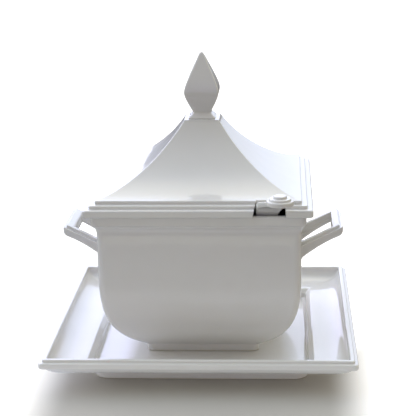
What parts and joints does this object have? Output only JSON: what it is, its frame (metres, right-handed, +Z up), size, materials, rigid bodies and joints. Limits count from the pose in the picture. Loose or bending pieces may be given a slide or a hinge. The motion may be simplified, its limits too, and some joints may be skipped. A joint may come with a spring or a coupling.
{
  "type": "soup tureen",
  "caption": "Square glazed ceramic soup tureen with a notched pagoda-shaped lid, side handles and ladle, standing on a matching square tray.",
  "frame": {"origin": "centre of the tray's foot, on the table", "axes": "+Z up; +X to the right; the lid's ladle notch and the ladle's end piece are on the -Y side; the bowl's handles are on +X and -X"},
  "size_m": [0.3, 0.3, 0.303],
  "materials": {
    "tray_glaze": "glossy white glaze",
    "bowl_glaze": "glossy white glaze",
    "lid_glaze": "glossy white glaze",
    "ladle_glaze": "glossy white glaze"
  },
  "bodies": {
    "tray": {"tray": "tray_glaze"},
    "tureen": {"bowl": "bowl_glaze", "handle_left": "bowl_glaze", "handle_right": "bowl_glaze"},
    "lid": {"lid": "lid_glaze", "finial": "lid_glaze"},
    "ladle": {"ladle_cup": "ladle_glaze", "ladle_handle": "ladle_glaze"}
  },
  "joints": [
    {"name": "tureen_lift", "type": "slide", "parent": "tray", "child": "tureen", "axis": [0, 0, 1], "range_m": [0, 0.1]},
    {"name": "lid_lift", "type": "slide", "parent": "tureen", "child": "lid", "axis": [0, 0, 1], "range_m": [0, 0.18]},
    {"name": "ladle_draw", "type": "slide", "parent": "tureen", "child": "ladle", "axis": [0.2669, -0.5472, 0.7933], "range_m": [0, 0.04]}
  ]
}
